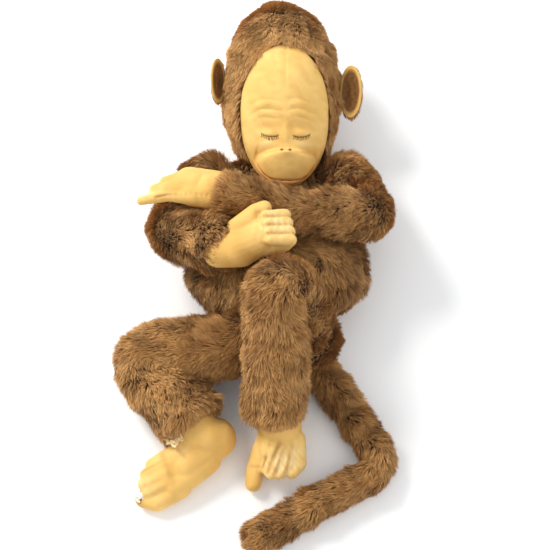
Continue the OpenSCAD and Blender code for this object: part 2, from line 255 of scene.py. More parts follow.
def new_material(name, roughness, specular=0.3):
    mat = bpy.data.materials.new(name)
    mat.use_nodes = True
    shader = mat.node_tree.nodes["Principled BSDF"]
    shader.inputs["Roughness"].default_value = roughness
    shader.inputs["Specular IOR Level"].default_value = specular
    return mat, mat.node_tree.nodes, mat.node_tree.links, shader


def noise_node(nodes, links, scale, detail=3.0):
    where = nodes.new("ShaderNodeTexCoord")
    noise = nodes.new("ShaderNodeTexNoise")
    noise.inputs["Scale"].default_value = scale
    noise.inputs["Detail"].default_value = detail
    links.new(where.outputs["Object"], noise.inputs["Vector"])
    return noise


def painted_colour(nodes, links, scale, amount):
    """The piece's painted colour, mottled by a noise of the given scale."""
    attr = nodes.new("ShaderNodeAttribute")
    attr.attribute_name = "Paint"
    noise = noise_node(nodes, links, scale)
    ramp = nodes.new("ShaderNodeMapRange")
    ramp.inputs["From Min"].default_value = 0.3
    ramp.inputs["From Max"].default_value = 0.7
    ramp.inputs["To Min"].default_value = 1 - amount
    ramp.inputs["To Max"].default_value = 1 + amount
    links.new(noise.outputs["Fac"], ramp.inputs["Value"])
    scaled = nodes.new("ShaderNodeVectorMath")
    scaled.operation = "SCALE"
    links.new(attr.outputs["Color"], scaled.inputs[0])
    links.new(ramp.outputs["Result"], scaled.inputs["Scale"])
    return scaled.outputs["Vector"]


def add_bump(nodes, links, shader, height, strength, distance):
    node = nodes.new("ShaderNodeBump")
    node.inputs["Strength"].default_value = strength
    node.inputs["Distance"].default_value = distance
    links.new(height, node.inputs["Height"])
    links.new(node.outputs["Normal"], shader.inputs["Normal"])


def fur_material():
    mat, nodes, links, shader = new_material("monkey_fur", 0.62, 0.25)
    shader.inputs["Sheen Weight"].default_value = 0.25
    shader.inputs["Sheen Roughness"].default_value = 0.5
    shader.inputs["Sheen Tint"].default_value = (1.0, 0.78, 0.5, 1)
    links.new(painted_colour(nodes, links, 55.0, 0.10), shader.inputs["Base Color"])
    return mat


def cloth_material():
    """The woven backing under the pile."""
    mat, nodes, links, shader = new_material("fur_backing", 0.95, 0.1)
    links.new(painted_colour(nodes, links, 160.0, 0.15), shader.inputs["Base Color"])
    weave = noise_node(nodes, links, 1400.0, 1.0)
    add_bump(nodes, links, shader, weave.outputs["Fac"], 0.5, 0.0006)
    return mat


def rubber_material():
    """Old moulded latex with a fabric feel: fine grain, soft sheen, faint stains."""
    mat, nodes, links, shader = new_material("moulded_rubber", 0.66, 0.22)
    shader.inputs["Subsurface Weight"].default_value = 0.12
    shader.inputs["Subsurface Radius"].default_value = (0.006, 0.003, 0.0015)
    shader.inputs["Subsurface Scale"].default_value = 0.6
    links.new(painted_colour(nodes, links, 70.0, 0.05), shader.inputs["Base Color"])
    grain = noise_node(nodes, links, 900.0, 3.0)
    wrinkles = noise_node(nodes, links, 110.0, 4.0)
    both = nodes.new("ShaderNodeMath")
    both.operation = "MULTIPLY_ADD"
    both.inputs[1].default_value = 2.2
    links.new(wrinkles.outputs["Fac"], both.inputs[0])
    links.new(grain.outputs["Fac"], both.inputs[2])
    add_bump(nodes, links, shader, both.outputs["Value"], 0.45, 0.0006)
    return mat


def thread_material():
    mat, nodes, links, shader = new_material("thread", 0.8, 0.2)
    links.new(painted_colour(nodes, links, 900.0, 0.25), shader.inputs["Base Color"])
    return mat


def stuffing_material():
    mat, nodes, links, shader = new_material("stuffing", 0.95, 0.1)
    links.new(painted_colour(nodes, links, 300.0, 0.12), shader.inputs["Base Color"])
    lumps = noise_node(nodes, links, 420.0, 4.0)
    add_bump(nodes, links, shader, lumps.outputs["Fac"], 0.8, 0.0012)
    return mat


FUR = fur_material()
CLOTH = cloth_material()
RUBBER = rubber_material()
THREAD = thread_material()
STUFFING = stuffing_material()

# Linear colours
FUR_MID = np.array([0.27, 0.115, 0.030])
FUR_GOLD = np.array([0.60, 0.335, 0.115])
FUR_HEAD = np.array([0.56, 0.29, 0.095])
BACKING = np.array([0.12, 0.05, 0.016])
TAN = np.array([0.76, 0.465, 0.128])
TAN_LIGHT = np.array([0.84, 0.545, 0.178])
TAN_ORANGE = np.array([0.60, 0.30, 0.065])
CREAM = np.array([0.90, 0.69, 0.345])
CUFF_CREAM = np.array([0.86, 0.66, 0.36])
# painted shade for the pressed grooves of the hands and feet
GROOVE_SHADE = np.array([0.34, 0.15, 0.035])
LASH = np.array([0.05, 0.022, 0.012])
EAR_INSIDE = np.array([0.15, 0.055, 0.017])
LIP = np.array([0.44, 0.07, 0.025])
NOSTRIL = LIP * np.array([0.35, 0.5, 0.9])
WHITE_FILL = np.array([0.90, 0.88, 0.82])


# ---- Fur: real strands, grown from a skin ----

# One strand is a blade of three faces: two quads, then a triangle at the tip
BLADE_POINTS, BLADE_FACES = 7, 3
BLADE_CORNERS = np.array([0, 1, 3, 2, 2, 3, 5, 4, 4, 5, 6])
BLADE_STARTS, BLADE_SIZES = np.array([0, 4, 8]), [4, 4, 3]
BLADE_U = np.array([0.15, 0.85, 0.85, 0.15, 0.15, 0.85, 0.85, 0.15, 0.15, 0.85, 0.5])
BLADE_V = np.array([0.05, 0.05, 0.4, 0.4, 0.4, 0.4, 0.72, 0.72, 0.72, 0.72, 0.95])
BLADE_LEVELS = [(0.0, 1.0), (0.4, 0.95), (0.74, 0.62), (1.0, 0.0)]      # how far along, how wide
HASH = (73856093, 19349663, 83492791)       # large primes that number the cells of space


def skin_samples(ob, count, seed, keep=None):
    """Points spread evenly over a skin, with their normals. keep(points) says where fur may grow."""
    me = ob.data
    me.calc_loop_triangles()
    tri = np.zeros(len(me.loop_triangles) * 3, np.int64)
    me.loop_triangles.foreach_get("vertices", tri)
    tri = tri.reshape(-1, 3)
    co, no = verts_of(ob), normals_of(ob)
    a, b, c = co[tri[:, 0]], co[tri[:, 1]], co[tri[:, 2]]
    area = np.linalg.norm(np.cross(b - a, c - a), axis=1) / 2
    if keep is not None:
        area = area * keep((a + b + c) / 3)
    rng = np.random.default_rng(seed)
    pick = rng.choice(len(tri), size=count, p=area / area.sum())
    u, v = rng.random(count), rng.random(count)
    over = u + v > 1
    u[over], v[over] = 1 - u[over], 1 - v[over]
    w = 1 - u - v
    t = tri[pick]

    def mix(x):
        return x[t[:, 0]] * w[:, None] + x[t[:, 1]] * u[:, None] + x[t[:, 2]] * v[:, None]
    return mix(co), unit(mix(no)), rng, area.sum()


def grow_fur(name, skin, comb, seed, length=PILE, density=1.5, lift=0.6, clump=3.6 * MM, pull=0.42,
             width=0.95 * MM, keep=None, tint=FUR_MID, gold=0.5):
    """Strands of pile on a skin, as flat tapered blades that lie along comb(points) in clumps.
    density is strands a square millimetre, lift is how steeply they stand."""
    probe = skin_samples(skin, 10, seed, keep)[3]
    count = int(min(MAX_STRANDS, probe * 1e6 * density))
    root, normal, rng, _ = skin_samples(skin, count, seed, keep)
    way = comb(root)
    swirl = 0.42 * waves(root, 40 * MM, seed + 1) + 0.34 * waves(root, 13 * MM, seed + 2)
    way = unit(way - normal * np.sum(way * normal, axis=1, keepdims=True))
    across = np.cross(normal, way)
    way = way * np.cos(swirl)[:, None] + across * np.sin(swirl)[:, None]
    across = np.cross(normal, way)
    grow = length * (0.78 + 0.3 * rng.random(count)) * (1 + 0.12 * waves(root, 30 * MM, seed + 3))
    rise = lift + 0.16 * waves(root, 20 * MM, seed + 4) + 0.12 * rng.normal(size=count)
    rise = np.clip(rise, 0.15, 0.95)
    tip = root + normal * (grow * rise)[:, None] + way * (grow * np.sqrt(1 - rise ** 2))[:, None]
    tip += across * (grow * 0.16 * rng.normal(size=count))[:, None]

    # tips gather in clumps: cells of space whose borders are bent by noise
    bent = np.stack([waves(root, 9 * MM, seed + 5 + k) for k in range(3)], axis=1)
    bent = root + bent * clump * 0.45
    cell = np.floor(bent / clump).astype(np.int64)
    key = (cell[:, 0] * HASH[0]) ^ (cell[:, 1] * HASH[1]) ^ (cell[:, 2] * HASH[2])
    _, group = np.unique(key, return_inverse=True)
    group = group.ravel()
    size = np.bincount(group).astype(float)
    centre = np.stack([np.bincount(group, tip[:, k]) / size for k in range(3)], axis=1)
    tip += (centre[group] - tip) * (pull * (0.7 + 0.5 * rng.random(count)))[:, None]
    shade = rng.normal(size=len(size))[group]

    bend = root + normal * (grow * 0.42 * rise)[:, None] + way * (grow * 0.12)[:, None]
    twist = rng.normal(scale=0.5, size=count)
    flat = across * np.cos(twist)[:, None] + normal * np.sin(twist)[:, None]
    verts = np.zeros((count, BLADE_POINTS, 3))
    colour = np.zeros((count, BLADE_POINTS, 3))
    warm = gold + 0.20 * waves(root, 45 * MM, seed + 9) + 0.14 * shade + 0.16 * rng.normal(size=count)
    warm = np.clip(warm, 0, 1)
    base = tint * (1 - warm[:, None]) + FUR_GOLD * warm[:, None]
    at = 0
    for t, w in BLADE_LEVELS:
        p = (1 - t) ** 2 * root + 2 * t * (1 - t) * bend + t * t * tip
        c = base * (0.5 + 0.5 * smooth(np.array([t]), 0.0, 0.5)[0]) * (1 + 0.35 * max(0, t - 0.5))
        half = flat * (width * w / 2)
        if w:
            verts[:, at], verts[:, at + 1] = p - half, p + half
            colour[:, at] = colour[:, at + 1] = c
            at += 2
        else:
            verts[:, at], colour[:, at] = p, c
    co = press_on_floor(verts.reshape(-1, 3))

    me = bpy.data.meshes.new(name)
    me.vertices.add(count * BLADE_POINTS)
    me.vertices.foreach_set("co", co.ravel())
    strand = np.arange(count)[:, None]
    loops = (strand * BLADE_POINTS + BLADE_CORNERS).ravel()
    me.loops.add(len(loops))
    me.loops.foreach_set("vertex_index", loops)
    me.polygons.add(count * BLADE_FACES)
    starts = (strand * len(BLADE_CORNERS) + BLADE_STARTS).ravel()
    me.polygons.foreach_set("loop_start", starts)
    me.polygons.foreach_set("loop_total", np.tile(BLADE_SIZES, count))
    me.polygons.foreach_set("use_smooth", np.ones(count * BLADE_FACES, bool))
    # each strand has its own square of the bake
    grid = math.ceil(math.sqrt(count))
    uv = np.stack([(strand % grid + BLADE_U) / grid, (strand // grid + BLADE_V) / grid], axis=2)
    me.uv_layers.new(name="OFBake").data.foreach_set("uv", uv.ravel())
    me.update()
    me.validate()
    ob = add_object(name, me)
    me.materials.append(FUR)
    paint(ob, np.clip(colour.reshape(-1, 3), 0, 1))
    return ob


def fur_skin(name, verts, faces, seed, lumps=1.0 * MM):
    """A cloth surface with the soft lumps of old stuffing, lying on the floor."""
    ob = mesh_piece(name, verts, faces, CLOTH)
    co, no = verts_of(ob), normals_of(ob)
    co += no * (lumps * (0.7 * waves(co, 42 * MM, seed) + 0.4 * waves(co, 17 * MM, seed + 1)))[:, None]
    set_verts(ob, press_on_floor(co))
    paint(ob, np.clip(BACKING * (1 + 0.15 * waves(co, 12 * MM, seed + 2))[:, None], 0, 1))
    return ob


# ---- Body ----

BODY_LO, BODY_HI = node_box("body_fur")
HEAD_C, CROWN = joint_at("neck_turn"), joint_axis("neck_turn")
FACE_DIR = unit(np.cross([1.0, 0, 0], CROWN))
SIDE = np.array([1.0, 0, 0])


def pear_body():
    """The body: a pear whose spine dips to the neck, flat below where it lies."""
    rows, sides = 70, 96
    seat, neck = BODY_LO[1], HEAD_C[1] - 62 * MM
    hip_r, chest_r, neck_r = (BODY_HI[0] - BODY_LO[0]) / 2, 0.052, 0.034
    widest, chest = 0.35, 0.84
    v = (1 - np.cos(np.linspace(0, math.pi, rows))) / 2
    seat_wide = hip_r * np.sqrt(np.clip(1 - np.abs(1 - v / widest) ** 2.3, 0, 1))
    waist = (1 + np.cos(math.pi * np.clip((v - widest) / (chest - widest), 0, 1))) / 2
    wide = np.where(v < widest, seat_wide, chest_r + (hip_r - chest_r) * waist)
    shoulders = np.sqrt(np.clip(1 - ((v - chest) / (1 - chest)) ** 2, 0, 1))
    wide = np.where(v > chest, neck_r + (chest_r - neck_r) * shoulders, wide)
    wide[-1] = 0.002
    y = seat + (neck - seat) * v
    ratio = (BODY_HI[2] - BODY_LO[2] + 2 * MM) / (2 * hip_r)
    spine = (BODY_HI[2] - BODY_LO[2]) / 2 - (y - y[24]) * 0.18
    turn = full_turn(sides)
    x = wide[:, None] * np.cos(turn)[None, :]
    z = spine[:, None] + wide[:, None] * ratio * np.sin(turn)[None, :]
    verts = np.stack([x, np.repeat(y[:, None], sides, 1), z], axis=2).reshape(-1, 3)
    return verts, [(b, c, d, a) for a, b, c, d in ring_faces(rows, sides)]


def body_comb(p):
    """Body fur runs from the neck to the seat and falls to the sides."""
    out = np.zeros_like(p)
    out[:, 1] = -1.0
    out[:, 0] = np.sign(p[:, 0]) * 0.35 * np.clip(np.abs(p[:, 0]) / 0.06, 0, 1)
    out[:, 2] = -0.35
    return out


def build_body():
    skin = fur_skin("body_cloth", *pear_body(), seed=11, lumps=1.6 * MM)
    middle = (BODY_HI[2] + BODY_LO[2]) / 2 - 6 * MM
    # the body's pile gets a darker tint and less gold than the head's, as painted shade for the hollow
    # between the head and the arms
    front = grow_fur("body_front_pile", skin, body_comb, 21, density=1.6, tint=FUR_MID * 0.8, gold=0.36,
                     keep=lambda p: (p[:, 2] >= middle).astype(float))
    back = grow_fur("body_back_pile", skin, body_comb, 22, density=1.2, tint=FUR_MID * 0.85, gold=0.4,
                    keep=lambda p: (p[:, 2] < middle).astype(float))
    for ob in (skin, front, back):
        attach(ob, "body")
    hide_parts("body_fur", "body_stuffing")


# ---- Head ----

SKULL_LO, SKULL_HI = node_box("head_fur")
SKULL_X = (SKULL_HI[0] - SKULL_LO[0]) / 2 + 3 * MM
SKULL_U, SKULL_N = 0.088, 0.055   # half its length along the crown, half its depth
SKULL_POWER = 0.88                # below 1 the skull is fuller than an ellipsoid
FACE_LO, FACE_HI = node_box("face_mask")
FACE_X = (FACE_HI[0] - FACE_LO[0]) / 2 + 1.4 * MM
FACE_MID = -26 * MM               # widest line of the face, along the crown direction
FACE_TOP, FACE_BOTTOM = 66 * MM, 74.5 * MM
FACE_SHIFT, MIDLINE = 2.6 * MM, 3.6 * MM      # the outline and the features sit a little to one side


def to_head(p):
    """Points of the model in head coordinates: across, along the crown, out of the face."""
    d = p - HEAD_C
    return d @ SIDE, d @ CROWN, d @ FACE_DIR


def from_head(x, u, n):
    return HEAD_C + x[..., None] * SIDE + u[..., None] * CROWN + n[..., None] * FACE_DIR


def skull_depth(x, u, grow=0.0):
    """How far the skull stands out towards the face at a place on the face."""
    q = 1 - (x / (SKULL_X + grow)) ** 2 - (u / (SKULL_U + grow)) ** 2
    return (SKULL_N + grow) * np.sqrt(np.clip(q, 0.0, 1))


def skull():
    rows, sides = 72, 96
    tilt = np.linspace(0, math.pi, rows)
    turn = full_turn(sides)
    bulge = np.sin(tilt) ** SKULL_POWER
    x = SKULL_X * bulge[:, None] * np.cos(turn)[None, :]
    n = SKULL_N * bulge[:, None] * np.sin(turn)[None, :]
    u = np.repeat((SKULL_U * np.cos(tilt))[:, None], sides, 1)
    verts = from_head(x, u, n).reshape(-1, 3)
    return verts, [(a, d, c, b) for a, b, c, d in ring_faces(rows, sides)]


def face_reach(x, u):
    """0 at the middle of the face, 1 on its outline."""
    tall = np.where(u > FACE_MID, FACE_TOP, FACE_BOTTOM)
    return np.sqrt(((x - FACE_SHIFT) / FACE_X) ** 2 + ((u - FACE_MID) / tall) ** 2)


def outside_face(p):
    x, u, n = to_head(p)
    return 1.0 - (n > 0) * (face_reach(x, u) < 0.99)


def head_comb(p):
    """Head fur is combed down from the crown, and away from the face at its sides."""
    x, u, n = to_head(p)
    out = -CROWN[None, :] * np.ones((len(p), 1))
    aside = np.sign(x) * 0.5 * smooth(np.abs(x), 0.0, 0.03) * (u < 0.03)
    forward = -0.25 + 1.0 * smooth(u, 0.045, 0.085)
    return out + SIDE[None, :] * aside[:, None] + FACE_DIR[None, :] * forward[:, None]


def build_head():
    skin = fur_skin("head_cloth", *skull(), seed=31)
    middle = -6 * MM
    both = dict(length=HEAD_PILE, lift=0.5, clump=3.0 * MM, tint=FUR_HEAD * 0.7)
    top = grow_fur("head_front_pile", skin, head_comb, 41, density=2.0, width=0.85 * MM, gold=0.66,
                   keep=lambda p: outside_face(p) * (to_head(p)[2] > middle), **both)
    back = grow_fur("head_back_pile", skin, head_comb, 42, density=1.5, width=0.9 * MM, gold=0.58,
                    keep=lambda p: outside_face(p) * (to_head(p)[2] <= middle), **both)
    for ob in (skin, top, back):
        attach(ob, "head")
    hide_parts("head_fur", "head_stuffing")


# Face: one moulded sheet over the front of the skull, from brow to chin

EYE_X, EYE_U = 15.6 * MM, -50.5 * MM
NOSTRIL_U = -66 * MM
MUZZLE_U = -80 * MM


def lid_line(side):
    """Height of the closed eye at a distance from the middle of the face; it droops to the nose."""
    t = (side - EYE_X) / (8.2 * MM)
    return EYE_U + 1.3 * MM * t - 2.0 * MM * (1 - t * t)


def mouth_line(side):
    """Height of the mouth at a distance from the middle: a long smile under the muzzle."""
    return -94.6 * MM + 18 * MM * np.clip(side / (28.7 * MM), 0, 1.1) ** 3.4


def face_base(x, u):
    """The plain egg of the face, before any feature: it follows the skull and reaches below it."""
    low = np.where(u < FACE_MID, FACE_MID + (u - FACE_MID) * 0.68, u)
    return skull_depth(x, low, 1.0 * MM)


def face_height(x, u):
    """How far the moulded features stand proud of the plain egg of the face."""
    m = MM
    x = x - MIDLINE
    h = 1.2 * m + 0 * x
    side = np.abs(x)
    h += 3.0 * m * bump(x, u, 0, 4 * m, 36 * m, 32 * m)  # forehead dome
    h -= 0.45 * m * bump(x, u, 0, 14 * m, 1.5 * m, 24 * m)  # mould line up the forehead
    h += 0.35 * m * bump(x, u, -6 * m, 14 * m, 3 * m, 22 * m)
    brow_u = -21 * m - 4.2 * m * ((side - 16 * m) / (15 * m)) ** 2 + 1.3 * m * np.sin(x / (5.5 * m) + 0.6)
    arch = u - brow_u
    near_brow = bump(side, u * 0, 19 * m, 0, 13.5 * m, 1)
    h += 1.15 * m * np.exp(-(arch / (3.2 * m)) ** 2) * near_brow  # brow
    h -= 0.4 * m * np.exp(-((arch - 4.6 * m) / (1.5 * m)) ** 2) * near_brow
    h -= 0.62 * m * np.exp(-((arch + 4.8 * m) / (1.3 * m)) ** 2) * near_brow
    h += 0.7 * m * np.exp(-((arch + 8.6 * m) / (2.8 * m)) ** 2) * bump(side, u * 0, 19 * m, 0, 11 * m, 1)
    h -= 0.5 * m * np.exp(-((arch + 12.6 * m) / (1.5 * m)) ** 2) * bump(side, u * 0, 17 * m, 0, 9 * m, 1)
    h -= 2.6 * m * bump(side, u, EYE_X + 1 * m, EYE_U + 6 * m, 12 * m, 7 * m)  # eye socket
    h += 3.2 * m * bump(side, u, EYE_X, EYE_U + 2 * m, 8.6 * m, 5.6 * m)  # lid
    slit = between(side, EYE_X, 7.5 * m, 10 * m)
    h -= 1.1 * m * np.exp(-((u - lid_line(side)) / (0.75 * m)) ** 2) * slit
    h += 2.3 * m * bump(side, u, EYE_X + 2 * m, EYE_U - 9.5 * m, 9.5 * m, 5.2 * m)  # pouch
    h -= 1.5 * m * bump(side, u, EYE_X + 3 * m, EYE_U - 17.5 * m, 10 * m, 2.0 * m)
    h += 2.2 * m * bump(side, u, 33 * m, EYE_U - 4 * m, 7 * m, 18 * m)  # cheek
    h += 2.0 * m * bump(x, u, 0, EYE_U, 5.0 * m, 11 * m)  # bridge
    h += 2.4 * m * bump(x, u, 0, NOSTRIL_U - 1.5 * m, 8.5 * m, 5.6 * m)  # nose
    h -= 1.8 * m * bump(side, u, 4.0 * m, NOSTRIL_U, 1.3 * m, 1.2 * m)
    tall = np.where(u > MUZZLE_U, 17 * m, 25 * m)
    muzzle = np.clip(1 - (side / (33 * m)) ** 2.5 - (np.abs(u - MUZZLE_U) / tall) ** 2.5, 0, 1)
    h += 12 * m * (0.7 * smooth(muzzle, 0, 0.7) + 0.3 * muzzle)
    h -= 1.3 * m * bump(side, u, 29 * m, -70 * m, 1.7 * m, 9 * m, 0.2)  # fold by the muzzle
    on_mouth = 1 - smooth(side, 28 * m, 30 * m)
    mouth = mouth_line(side)
    h -= 1.3 * m * np.exp(-((u - mouth) / (0.8 * m)) ** 2) * on_mouth
    h += 0.7 * m * np.exp(-((u - mouth + 2.6 * m) / (1.6 * m)) ** 2) * on_mouth
    return h


def face_mask():
    """The face as a disc of rings: points, faces, and each point's place on the face."""
    rings, sides = 150, 300
    turn = full_turn(sides)
    reach = np.linspace(0, 1, rings + 1)[1:]
    tall = np.where(np.sin(turn) > 0, FACE_TOP, FACE_BOTTOM)
    x = FACE_SHIFT + reach[:, None] * FACE_X * np.cos(turn)[None, :]
    u = FACE_MID + reach[:, None] * (tall * np.sin(turn))[None, :]
    x = np.append(x.ravel(), FACE_SHIFT)
    u = np.append(u.ravel(), FACE_MID)
    r = face_reach(x, u)
    n = face_base(x, u) + face_height(x, u)
    n -= 4 * MM * smooth(r, 0.95, 1.0) ** 2
    return from_head(x, u, n), disc_faces(rings, sides), x, u, r


def face_colours(x, u, r):
    p = np.stack([x, u, 0 * x], axis=1)
    x = x - MIDLINE
    side = np.abs(x)
    lit = np.clip(0.5 + 0.28 * waves(p, 30 * MM, 51) + 0.3 * bump(x, u, 0, 0, 0.03, 0.05), 0, 1)
    rgb = TAN + (TAN_LIGHT - TAN) * lit[:, None]
    # painted shade in the eye sockets, round the face's edge under the fur, in the fold by the muzzle and
    # in the crease under each pouch, over random stains; all of it turns the tan more orange
    stain_and_crease_shade = 0.5 * bump(side, u, EYE_X, EYE_U + 7 * MM, 9 * MM, 3.0 * MM) + 0.3 * smooth(r, 0.9, 1.0)
    stain_and_crease_shade += 0.4 * bump(side, u, 29 * MM, -70 * MM, 2 * MM, 9 * MM, 0.2)
    stain_and_crease_shade += 0.35 * bump(side, u, EYE_X + 3 * MM, EYE_U - 17.5 * MM, 10 * MM, 2.2 * MM)
    stain_and_crease_shade += 0.2 * np.clip(waves(p, 9 * MM, 57), 0, 1)
    rgb = rgb + (TAN_ORANGE - rgb) * np.clip(stain_and_crease_shade, 0, 0.8)[:, None]
    pouch = 0.45 * bump(side, u, EYE_X + 2 * MM, EYE_U - 9 * MM, 8 * MM, 4 * MM)
    rgb = rgb + (CREAM - rgb) * pouch[:, None]

    def ink(k, c):
        return rgb + (c - rgb) * np.clip(k, 0, 1)[:, None]
    mouth = np.exp(-((u - mouth_line(side)) / (0.85 * MM)) ** 2) * (1 - smooth(side, 27.5 * MM, 29.5 * MM))
    rgb = ink(1.1 * mouth * (0.8 + 0.2 * waves(p, 6 * MM, 53)), LIP)
    rgb = ink(1.9 * bump(side, u, 4.0 * MM, NOSTRIL_U, 1.3 * MM, 1.4 * MM), NOSTRIL)
    on_eye = between(side, EYE_X, 8 * MM, 9.5 * MM)
    rgb = ink(0.9 * np.exp(-((u - lid_line(side)) / (0.42 * MM)) ** 2) * on_eye, LASH)
    return np.clip(rgb, 0, 1)


def add_wall(ob, thickness):
    """Gives a moulded sheet its thickness, on its back side."""
    wall = ob.modifiers.new("wall", "SOLIDIFY")
    wall.thickness = thickness
    wall.offset = -1


def build_face():
    verts, faces, x, u, r = face_mask()
    ob = mesh_piece("face_rubber", verts, faces, RUBBER)
    paint(ob, face_colours(x, u, r))
    add_wall(ob, 1.6 * MM)
    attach(ob, "head")
    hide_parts("face_mask")
    build_lashes()


def build_lashes():
    """Eleven short threads along each closed lid, each a three-sided spike of three rows."""
    lash_verts, lash_faces = [], []
    rng = np.random.default_rng(61)
    for sign in (-1, 1):
        for k in range(11):
            t = (k + 0.5) / 11 * 2 - 1
            side = EYE_X + t * 8.2 * MM
            lid = lid_line(side)
            down = (3.3 + 1.2 * rng.random()) * MM * (1 - 0.35 * abs(t))
            fan = t * 0.9 * MM + 0.3 * MM * rng.normal()
            ends = np.array([[side, lid + 0.2 * MM], [side + fan * 0.5, lid - down * 0.5],
                             [side + fan, lid - down]])
            xs, us = MIDLINE + ends[:, 0] * sign, ends[:, 1]
            n = face_base(xs, us) + face_height(xs, us) + np.array([0.1, 0.35, 0.3]) * MM
            line = from_head(xs, us, n)
            base = len(lash_verts)
            for p, w in zip(line, (0.34, 0.3, 0.14)):
                for corner in (SIDE * w, FACE_DIR * w * 0.8, -SIDE * w):
                    lash_verts.append(p + corner * MM)
            for i in range(2):
                for j in range(3):
                    a, b = base + i * 3 + j, base + i * 3 + (j + 1) % 3
                    lash_faces.append((a, b, b + 3, a + 3))
            lash_faces.append((base + 2, base + 1, base))
            lash_faces.append((base + 6, base + 7, base + 8))
    lashes = mesh_piece("lash_threads", lash_verts, lash_faces, THREAD)
    paint(lashes, np.tile(LASH, (len(lash_verts), 1)))
    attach(lashes, "head")


# Ears

def build_ear(name, sign, drop, tall, wide, lean, root_x):
    """A cupped ear: a furred back and a moulded front with a rolled rim."""
    rows, sides = 26, 64
    lo, hi = node_box(name)
    _, seat_u, seat_n = to_head((lo + hi) / 2)
    turn = full_turn(sides)
    reach = np.linspace(0, 1, rows + 1)[1:]
    x = reach[:, None] * (np.cos(turn) * wide * 1.05)[None, :]
    u = reach[:, None] * (np.sin(turn) * tall)[None, :]
    x, u = np.append(x.ravel(), 0), np.append(u.ravel(), 0)
    r = np.append(np.repeat(reach, sides), 0)
    cup = 7.0 * MM * r ** 2.2 - 2.0 * MM * smooth(r, 0.86, 1.0)
    cup += 1.6 * MM * bump(x, u, 2 * MM, 0, 3.5 * MM, 12 * MM)
    across = wide + x
    out_x = sign * (root_x + across * math.cos(lean))
    n = seat_n - 3 * MM + across * math.sin(lean) * 0.75 + cup
    verts = from_head(out_x, seat_u + u - drop, n)
    faces = disc_faces(rows, sides)
    if sign < 0:
        faces = [f[::-1] for f in faces]
    lining = mesh_piece(name + "_front", verts, faces, RUBBER)
    rim = smooth(r, 0.72, 0.95)
    rgb = EAR_INSIDE * (1 + 0.3 * waves(verts, 5 * MM, 77))[:, None]
    rgb = rgb + (TAN * 0.85 - rgb) * (0.1 + 0.9 * rim)[:, None]
    paint(lining, np.clip(rgb, 0, 1))
    add_wall(lining, 1.4 * MM)
    back_verts = verts - FACE_DIR * (1.5 * MM + 4.5 * MM * np.sqrt(np.clip(1 - r ** 2, 0, 1)))[:, None]
    back = mesh_piece(name + "_back", back_verts, [f[::-1] for f in faces], CLOTH)
    paint(back, np.tile(BACKING * 2, (len(back_verts), 1)))
    pile = grow_fur(name + "_pile", back, head_comb, 71 + sign, length=5.5 * MM, density=1.6, lift=0.4,
                    clump=3 * MM, width=0.9 * MM, tint=FUR_HEAD * 0.6, gold=0.6)
    for ob in (lining, back, pile):
        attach(ob, "head")
    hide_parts(name + "_lining")
    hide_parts(name)


# ---- Limbs and tail ----

def path_comb(path):
    """Fur on a limb runs along it and hangs a little."""
    ahead = unit(np.gradient(path, axis=0))
    droop = np.array([0, 0, 0.25])
    batch = 4000

    def comb(p):
        nearest = np.zeros(len(p), int)
        for at in range(0, len(p), batch):
            d = p[at:at + batch, None, :] - path[None, :, :]
            nearest[at:at + batch] = np.argmin(np.sum(d * d, axis=2), axis=1)
        return ahead[nearest] - droop
    return comb


def sleeve(name, points, radii, bend, seed, node, corner=20 * MM, rounds=(True, False), gold=0.5):
    """A furred tube through points, with a radius at each. It stands for the fur cloth and the stuffing
    of one CAD limb. The argument bend = (start, end) is not used."""
    lengths = [np.linalg.norm(b - a) for a, b in zip(points, points[1:])]
    path, s = along_path(points, max(24, int(sum(lengths) / (2.6 * MM))), corner)
    marks = np.concatenate([[0], np.cumsum(lengths)])
    radius = end_radii(s, np.interp(s / s[-1], marks / marks[-1], radii), *rounds)
    skin = fur_skin(name + "_cloth", *loft(path, radius), seed=seed)
    fur = grow_fur(name + "_pile", skin, path_comb(path), seed + 3, gold=gold)
    for ob in (skin, fur):
        tuple(bend[0])
        tuple(bend[1])
        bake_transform(ob)
    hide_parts(node + "_fur", node + "_stuffing")


def toward(a, b, distance):
    return a + unit(b - a) * distance


def blend_span(joint, before, after, reach):
    """Where a limb bends at a joint: from a little before it to a little after, along the limb."""
    return toward(joint, before, reach), toward(joint, after, reach)


def build_arm(side, seed):
    shoulder, elbow = joint_at(side + "_shoulder_lift"), joint_at(side + "_elbow_lift")
    wrist = joint_at(side + "_wrist_bend")
    sign = 1 if side == "left" else -1
    inside = shoulder + np.array([-sign * 26 * MM, 16 * MM, 4 * MM])
    top = shoulder + np.array([-sign * 1 * MM, 12 * MM, 8 * MM])
    half = (shoulder + elbow) / 2
    upper, fore = side + "_upper_arm", side + "_forearm"
    r = 19 * MM if side == "left" else 23 * MM
    sleeve(side + "_upper_sleeve", [inside, top, half, toward(half, elbow, 8 * MM)],
           [24 * MM, 27 * MM, 24 * MM, 22 * MM],
           blend_span(shoulder, inside, elbow, 14 * MM), seed, upper, gold=0.42)
    cuff = toward(wrist, elbow, 4 * MM)
    sag = np.array([0, -8 * MM, -4 * MM]) if side == "left" else np.zeros(3)
    points = [toward(half, shoulder, 6 * MM), elbow, (elbow + wrist) / 2 + sag,
              toward(cuff, elbow, 12 * MM) + sag * 0.2, cuff]
    sleeve(side + "_lower_sleeve", points,
           [23 * MM, r + 1 * MM, r - 1 * MM, r - 1 * MM, 18.5 * MM],
           blend_span(elbow, half, wrist, 16 * MM), seed + 10, fore, corner=0.024, rounds=(False, False))


